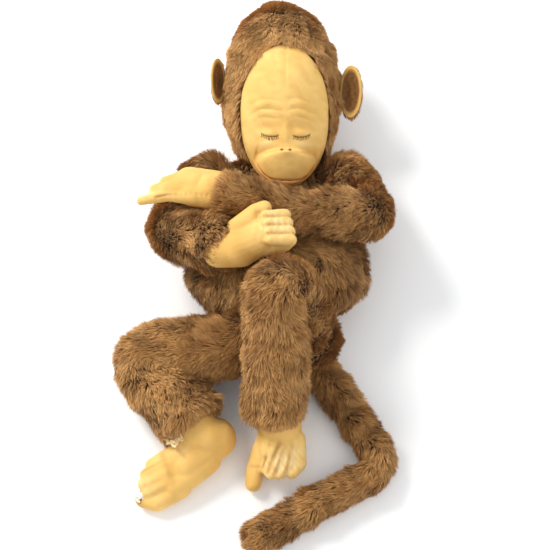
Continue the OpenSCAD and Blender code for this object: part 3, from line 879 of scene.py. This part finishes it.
def build_leg(side, seed):
    hip = joint_at("left_hip_spread" if side == "left" else "right_hip_lift")
    knee, ankle = joint_at(side + "_knee_bend"), joint_at(side + "_ankle_turn")
    sign = 1 if side == "left" else -1
    inside = hip + np.array([-sign * 4 * MM, 26 * MM, 0])
    half = (hip + knee) / 2
    thigh, shin = side + "_thigh", side + "_shin"
    sleeve(side + "_thigh_sleeve", [inside, hip, half, toward(half, knee, 8 * MM)],
           [24 * MM, 26 * MM, 25 * MM, 25 * MM],
           blend_span(hip, inside, knee, 14 * MM), seed, thigh, gold=0.42)
    cuff = toward(ankle, knee, 14 * MM)
    lean = np.array([-5 * MM, 0, 0]) if side == "left" else np.zeros(3)
    wide = 0 if side == "left" else 3.5 * MM
    points = [toward(half, hip, 6 * MM), knee + lean, toward(knee, ankle, 45 * MM) + lean, cuff + lean]
    sleeve(side + "_shin_sleeve", points,
           [25 * MM, 26 * MM + wide, 25 * MM + wide, 24.5 * MM + wide],
           blend_span(knee, half, ankle, 18 * MM), seed + 10, shin, corner=0.026, rounds=(False, False))


def build_tail():
    base, first = joint_at("tail_base_swing"), joint_at("tail_middle_swing")
    second = joint_at("tail_tip_curl")
    lo, _ = node_box("tail_tip_fur")
    end = np.array([lo[0] + 10 * MM, lo[1] + 11 * MM, second[2]])
    r = 12 * MM
    root = base + np.array([-4 * MM, 14 * MM, 4 * MM])
    half, middle = (base + first) / 2, (first + second) / 2
    sleeve("tail_base_sleeve", [root, base, half, toward(half, first, 8 * MM)], [r, r, r, r],
           blend_span(base, root, first, 9 * MM), 301, "tail_root",
           rounds=(False, False))
    sleeve("tail_middle_sleeve", [half, first, toward(middle, second, 4 * MM)], [r, r, r],
           blend_span(first, base, second, 12 * MM), 311, "tail_mid",
           rounds=(False, False))
    sleeve("tail_tip_sleeve", [toward(middle, first, 4 * MM), second, end], [r, r, r * 0.98],
           blend_span(second, middle, end, 16 * MM), 321, "tail_tip",
           corner=0.034, rounds=(False, True))


# ---- Hands and feet: moulded rubber, joined from rounded fingers and toes ----

def capsule(a, b, ra, rb, sides):
    """A rounded rod from a to b whose radius goes from ra to rb."""
    a, b = np.asarray(a, float), np.asarray(b, float)
    length = np.linalg.norm(b - a)
    way = (b - a) / max(length, 1e-9)
    arc = np.linspace(0.04, math.pi / 2, 7)
    s = np.concatenate([-ra * np.cos(arc), length + rb * np.cos(arc[::-1])])
    r = np.concatenate([ra * np.sin(arc), rb * np.sin(arc[::-1])])
    return loft(a + s[:, None] * way, r, sides)


def capsules(rods, sides=20):
    """Points and faces of many rods together. A rod is (start, end, radius at start, radius at end)."""
    verts, faces = [], []
    for rod in rods:
        v, f = capsule(*rod, sides)
        base = len(verts)
        verts.extend(v)
        faces.extend(tuple(i + base for i in g) for g in f)
    return verts, faces


def moulded(name, rods, voxel, rounds=6, material=RUBBER):
    """One smooth skin round a set of rods."""
    ob = mesh_piece(name, *capsules(rods), material)
    remesh = ob.modifiers.new("join", "REMESH")
    remesh.mode = "VOXEL"
    remesh.voxel_size = voxel
    soften = ob.modifiers.new("soften", "SMOOTH")
    soften.factor = 0.5
    soften.iterations = rounds
    finished = bpy.data.meshes.new_from_object(ob.evaluated_get(bpy.context.evaluated_depsgraph_get()))
    ob.modifiers.clear()
    ob.data = finished
    finished.polygons.foreach_set("use_smooth", [True] * len(finished.polygons))
    return ob


def limb_frame(origin, ahead, side):
    """Turns local (ahead, side, up) sizes in millimetres into points of the model."""
    ahead = unit(ahead)
    up = unit(np.cross(ahead, side))
    side = np.cross(up, ahead)
    return lambda x, y, z: origin + (x * ahead + y * side + z * up) * MM


def rubber_colours(ob, seed, warm, worn):
    """Tan rubber, more orange near the points in warm and cream where it is worn, with painted shade along
    the pressed grooves. Each entry is (point, size, amount)."""
    co = verts_of(ob)
    rgb = TAN + (TAN_LIGHT - TAN) * np.clip(0.35 + 0.35 * waves(co, 22 * MM, seed), 0, 1)[:, None]
    for place, size, amount in warm:
        k = amount * np.exp(-np.sum((co - place) ** 2, axis=1) / size ** 2)
        rgb += (TAN_ORANGE - rgb) * np.clip(k, 0, 1)[:, None]
    rub = 0.6 + 0.4 * waves(co, 5 * MM, seed + 2)
    for place, size, amount in worn:
        k = amount * np.exp(-np.sum((co - place) ** 2, axis=1) / size ** 2) * rub
        rgb += (CREAM - rgb) * np.clip(k, 0, 1)[:, None]
    # painted shade along each pressed groove, darker where the groove is deeper
    for start, end, shade_amount, width in SHADED_GROOVES.get(ob.name, []):
        gap = line_distance(co, start, end)
        rgb += (GROOVE_SHADE - rgb) * (0.75 * shade_amount * np.exp(-(gap / (width * 1.5)) ** 2))[:, None]
    paint(ob, np.clip(rgb, 0, 1))


SHADED_GROOVES = {}      # for each piece, the lines pressed into it, for the painted shade along them: start, end, darkness, width


def creases(ob, at, lines):
    """Presses grooves into a moulded piece, and remembers them for the painted shade along them. A line is
    (start, end, depth, width) in millimetres of the limb's own frame."""
    for start, end, depth, width in lines:
        start, end, depth, width = at(*start), at(*end), depth * MM, width * MM
        SHADED_GROOVES.setdefault(ob.name, []).append((start, end, min(1.0, depth / (2.2 * MM)), width))
        co, no = verts_of(ob), normals_of(ob)
        gap = line_distance(co, start, end)
        set_verts(ob, co - no * (depth * np.exp(-(gap / width) ** 2))[:, None])


def rounded_rods(at, chains):
    """Rods through lists of (ahead, side, up, radius), all in millimetres."""
    return [(at(*a[:3]), at(*b[:3]), a[3] * MM, b[3] * MM)
            for chain in chains for a, b in zip(chain, chain[1:])]


def build_left_hand():
    """The hand that lies past the other arm: broad at the wrist, tapering to closed fingertips."""
    wrist = joint_at("left_wrist_bend")
    local = limb_frame(wrist, [-1, -0.03, 0.02], [0, -1, 0])

    def at(x, y, z):
        return local(x, -y, z)
    rods = rounded_rods(at, [
        [(-14, 1, 0, 15), (8, 3, 0, 16.5)], [(0, 9, 0, 13), (26, 13, 0, 13.5)],
        [(-2, -4, 0, 14), (24, 2, -1, 13.5)], [(20, 9, 0, 15), (46, 6, -1, 10)],
        [(28, 15, 1, 9), (48, 12, 0, 6)], [(34, 8, 1, 9), (58, 5, -1, 5.6)],
        [(36, 2, 0, 8), (71, -6, -2, 4.2)], [(22, -4, 2, 9), (47, -2, 0, 5)]])
    hand = moulded("left_hand_rubber", rods, 1.1 * MM)
    creases(hand, at, [((44, 12, 9), (62, 4, 5), 0.9, 1.2), ((38, -5, 8), (56, -5, 3), 1.6, 1.4)])
    creases(hand, at, [((2 + 5 * k, -16 + 1.1 * k, 2), (4 + 5 * k, -9 + 1.0 * k, 12), 0.5, 0.9)
                       for k in range(9)])
    rubber_colours(hand, 81, [(at(2, -8, 4), 18 * MM, 0.4), (at(40, 10, 8), 12 * MM, 0.25)],
                   [(at(66, -1, 2), 10 * MM, 0.3)])
    return hand


def build_right_hand():
    """The mitten-like hand that rests palm up on the chest with its fingers curled over."""
    wrist = joint_at("right_wrist_bend")
    at = limb_frame(wrist, [1, 0.2, 0.06], [0, 1, 0])
    palm = [[(-10, -3, 0, 15), (10, -4, 1, 18)], [(8, -4, 2, 18), (32, 0, 3, 16)],
            [(8, 4, 2, 14), (30, 10, 4, 12)]]
    fingers = [[(32, y * 0.9, 2, r + 2), (50, y, 4, r + 1), (56, y, 10, r), (38, y * 0.95, 18, r - 0.5)]
               for y, r in [(15, 6.0), (6.5, 6.4), (-2.5, 6.4), (-11, 6.0)]]
    thumb = [(10, 12, 8, 10), (30, 23, 12, 8), (39, 25, 13, 7)]
    hand = moulded("right_hand_rubber", rounded_rods(at, palm + fingers + [thumb]), 1.1 * MM)
    creases(hand, at, [((34, y, 24), (64, y, 10), 1.4, 1.3) for y in (11, 2.2, -6.8)])
    creases(hand, at, [((31, 20, 22), (29, -12, 24), 1.6, 1.6), ((31, 17, 20), (46, 20, 16), 1.8, 1.7),
                       ((16, -18, 14), (26, -22, 4), 0.6, 1.2)])
    rubber_colours(hand, 85, [(at(2, -6, 14), 22 * MM, 0.5)], [(at(46, 2, 18), 17 * MM, 0.85)])
    return hand


def build_left_foot():
    """The foot that lies nearly flat: a long big toe, and four worn toes curled in beside it."""
    ankle, knee = joint_at("left_ankle_turn"), joint_at("left_knee_bend")
    at = limb_frame(ankle, [-0.06, -1, 0], [1, 0, 0])
    rods = rounded_rods(at, [
        [(-2, 0, -6, 21), (18, 0, -9, 19)], [(-6, 0, -12, 17), (26, 6, -13, 15)],
        [(14, -8, -13, 14), (26, -12, -16, 12)],
        [(18, -14, -15, 10), (38, -20, -19, 8.6), (50, -21, -21, 7.4)],      # big toe
        [(10, 16, -4, 9), (31, 19, -9, 8.4), (40, 14, -9, 6.6)],
        [(14, 12, 0, 8.6), (34, 9, -5, 7.6), (42, 3, -7, 6.2)],
        [(18, 5, 1, 8), (36, 0, -4, 7), (43, -5, -8, 5.8)],
        [(16, -1, 0, 7.5), (32, -6, -5, 6.4), (39, -10, -9, 5.2)]])
    rods.append((ankle, toward(ankle, knee, 20 * MM), 19 * MM, 18 * MM))
    foot = moulded("left_foot_rubber", rods, 1.15 * MM)
    creases(foot, at, [(a, b, 2.2, 1.4) for a, b in (
        ((20, 14, 9), (44, 9, -2)), ((22, 7.5, 11), (46, -1, -2)), ((20, 1, 10), (44, -8, -3)),
        ((20, -7, 6), (38, -12, -6)))])
    creases(foot, at, [((36, -28, -12), (37, -13, -10), 0.9, 1.0)])
    set_verts(foot, press_on_floor(verts_of(foot)))
    rubber_colours(foot, 91, [(at(2, 6, 10), 16 * MM, 0.25), (at(48, -20, -14), 10 * MM, 0.35)],
                   [(at(38, 2, 0), 15 * MM, 1.0), (at(30, 18, 0), 12 * MM, 0.7)])
    return foot


def build_right_foot():
    """The foot that lies on its edge: a full round heel, stacked toes, and a worn-through big toe."""
    ankle, knee = joint_at("right_ankle_turn"), joint_at("right_knee_bend")
    at = limb_frame(ankle, [-0.79, -0.61, 0], [0.61, -0.79, 0])
    rods = rounded_rods(at, [
        [(-2, 4, 0, 18), (-9, 10, -7, 19)], [(-9, 10, -9, 19), (28, 13, -12, 16)],
        [(0, 0, -5, 17), (34, 4, -12, 14.5)], [(10, 20, -13, 14), (46, 22, -15, 12)],
        [(30, 6, -12, 14), (48, 12, -14, 12)],
        [(44, 26, -17, 10), (68, 23, -19, 8.6), (77, 13, -20, 7.4)],         # big toe
        [(46, 17, -12, 9), (70, 11, -14, 7)], [(46, 9, -9, 8.6), (68, 4, -12, 6.4)],
        [(44, 2, -8, 8), (62, -2, -11, 6)], [(36, -3, -8, 7.6), (53, -7, -12, 5.6)]])
    rods.append((ankle, toward(ankle, knee, 22 * MM), 19 * MM, 19 * MM))
    foot = moulded("right_foot_rubber", rods, 1.2 * MM)
    creases(foot, at, [(a, b, 2.6, 1.5) for a, b in (
        ((46, 22, 0), (76, 17, -8)), ((48, 13.5, 2), (76, 8, -6)), ((48, 6, 3), (72, 1, -4)),
        ((42, -1, 2), (64, -5, -5)))])
    creases(foot, at, [((27, 1, 6), (26, 11, 5), 2.2, 0.9), ((40, -6, -2), (47, 22, -2), 0.8, 2.0),
                       ((79, 8, -12), (80, 14, -17), 5.0, 2.8)])
    set_verts(foot, press_on_floor(verts_of(foot)))
    rubber_colours(foot, 95, [(at(-24, 14, -6), 20 * MM, 0.9), (at(10, 12, 6), 26 * MM, 0.35),
                              (at(60, 20, -10), 10 * MM, 0.3)],
                   [(at(74, 6, -6), 12 * MM, 0.6), (at(24, -8, 8), 10 * MM, 0.7)])
    tuft = lumps_of("torn_toe_filling", at(77.5, 10, -15), [5 * MM, 4.5 * MM, 4 * MM], 26, 1.9 * MM,
                    WHITE_FILL, STUFFING, 171)
    crumbs = lumps_of("worn_ankle_crumbs", at(23, -9, 9), [8 * MM, 9 * MM, 5 * MM], 60, 1.7 * MM,
                      CUFF_CREAM, RUBBER, 173)
    for ob, slot in ((tuft, "stuffing"), (crumbs, "moulded_skin")):
        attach(ob, "right_foot")
    return foot


def lumps_of(name, centre, spread, count, size, rgb, material, seed):
    """A ragged cluster: small uneven lumps joined into one crust."""
    rng = np.random.default_rng(seed)
    rods = []
    for _ in range(count):
        way = unit(rng.normal(size=3))
        a = centre + way * spread * rng.uniform(0.2, 1.0)
        b = a + unit(rng.normal(size=3)) * size * rng.uniform(0.8, 1.8)
        rods.append((a, b, size * rng.uniform(0.5, 1.0), size * rng.uniform(0.3, 0.7)))
    ob = moulded(name, rods, 0.6 * MM, rounds=1, material=material)
    co = verts_of(ob)
    set_verts(ob, press_on_floor(co))
    tone = 1 + 0.18 * waves(co, 3 * MM, seed + 1)
    paint(ob, np.clip(rgb * tone[:, None], 0, 1))
    return ob


def finish_rubber(ob, body):
    """A hand or foot stands for the CAD's rubber and its stuffing, which share the body's name."""
    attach(ob, body)
    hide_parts(body, body + "_stuffing")


def cuff_stitches(name, body, joint, before, back, radius):
    """The thread that gathers a sleeve round a rubber hand or foot, as a row of slanted stitches."""
    centre = toward(joint, before, back)
    axis = unit(joint - before)
    a = unit(np.cross(axis, [0.2, 0.1, 1]))
    b = np.cross(axis, a)
    count, slant, thick = 26, 1.4, 0.55 * MM

    def spot(t, s):
        return centre + (math.cos(t) * a + math.sin(t) * b) * radius + axis * s * MM
    rods = []
    for k in range(count):
        t0 = 2 * math.pi * k / count
        t1 = t0 + 2 * math.pi / count * 0.72
        rods.append((spot(t0, -slant), spot(t1, slant), thick, thick))
    verts, faces = capsules(rods, 8)
    ob = mesh_piece(name + "_stitches", verts, faces, THREAD)
    paint(ob, np.tile(FUR_MID * 0.8, (len(verts), 1)))
    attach(ob, body)
    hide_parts(name + "_seam")


# ---- Stage ----

FLOOR_HALF = 4.0                  # metres from the middle of the floor to its edge
LENS_MM = 936 / 11                # 85 mm on a 36 mm sensor
CAMERA_TILT = math.radians(65)    # above the floor
CAMERA_DISTANCE = 1.3
CAMERA_TARGET = np.array([-2 * MM, -10 * MM, 0])


def build_stage():
    mat, _, _, shader = new_material("pale_floor", 0.75, 0.2)
    shader.inputs["Base Color"].default_value = (0.97, 0.97, 0.965, 1)
    corners = [(-FLOOR_HALF, -FLOOR_HALF, 0), (FLOOR_HALF, -FLOOR_HALF, 0),
               (FLOOR_HALF, FLOOR_HALF, 0), (-FLOOR_HALF, FLOOR_HALF, 0)]
    mesh_piece("floor", corners, [(0, 1, 2, 3)], mat, False)
    world = bpy.data.worlds.new("room")
    bpy.context.scene.world = world
    world.use_nodes = True
    sky = world.node_tree.nodes["Background"]
    sky.inputs["Color"].default_value = (0.93, 0.96, 1.0, 1)
    sky.inputs["Strength"].default_value = 0.86

    def lamp(name, place, size, power, colour):
        """A round lamp in metres and watts, turned to the middle of the toy."""
        data = bpy.data.lights.new(name, "AREA")
        data.shape = "DISK"
        data.size = size
        data.energy = power
        data.color = colour
        ob = add_object(name, data)
        ob.location = place
        aim = add_object(name + "_aim", None)
        aim.location = (0, 0, 0.05)
        track = ob.constraints.new("TRACK_TO")
        track.target = aim
        track.track_axis = "TRACK_NEGATIVE_Z"
        track.up_axis = "UP_Y"

    lamp("window", (-1.3, 0.9, 1.5), 1.0, 43, (1.0, 0.975, 0.93))
    lamp("fill", (1.2, -0.9, 1.3), 1.4, 7, (1.0, 0.93, 0.84))

    # the default view transform would wash out the fur and grey the floor
    bpy.context.scene.view_settings.view_transform = "Standard"
    camera = bpy.data.cameras.new("camera")
    camera.sensor_width = 36
    camera.lens = LENS_MM
    eye = add_object("camera", camera)
    away = np.array([0, -math.cos(CAMERA_TILT), math.sin(CAMERA_TILT)])
    eye.location = CAMERA_TARGET + CAMERA_DISTANCE * away
    eye.rotation_euler = (math.radians(90) - CAMERA_TILT, 0, 0)
    bpy.context.scene.camera = eye


build_stage()
build_body()
build_head()
build_face()
build_ear("left_ear", 1, drop=7 * MM, tall=26.5 * MM, wide=14 * MM, lean=0.8, root_x=0.0585)
build_ear("right_ear", -1, drop=-4 * MM, tall=22.5 * MM, wide=12 * MM, lean=1.05, root_x=0.0575)
build_arm("left", 101)
build_arm("right", 131)
build_leg("left", 201)
build_leg("right", 231)
build_tail()
finish_rubber(build_left_hand(), "left_hand")
finish_rubber(build_right_hand(), "right_hand")
finish_rubber(build_left_foot(), "left_foot")
finish_rubber(build_right_foot(), "right_foot")
for side in ("left", "right"):
    cuff_stitches(side + "_wrist", side + "_forearm", joint_at(side + "_wrist_bend"),
                  joint_at(side + "_elbow_lift"), 4 * MM, 14.5 * MM)
    cuff_stitches(side + "_ankle", side + "_shin", joint_at(side + "_ankle_turn"),
                  joint_at(side + "_knee_bend"), 14 * MM, 17 * MM)
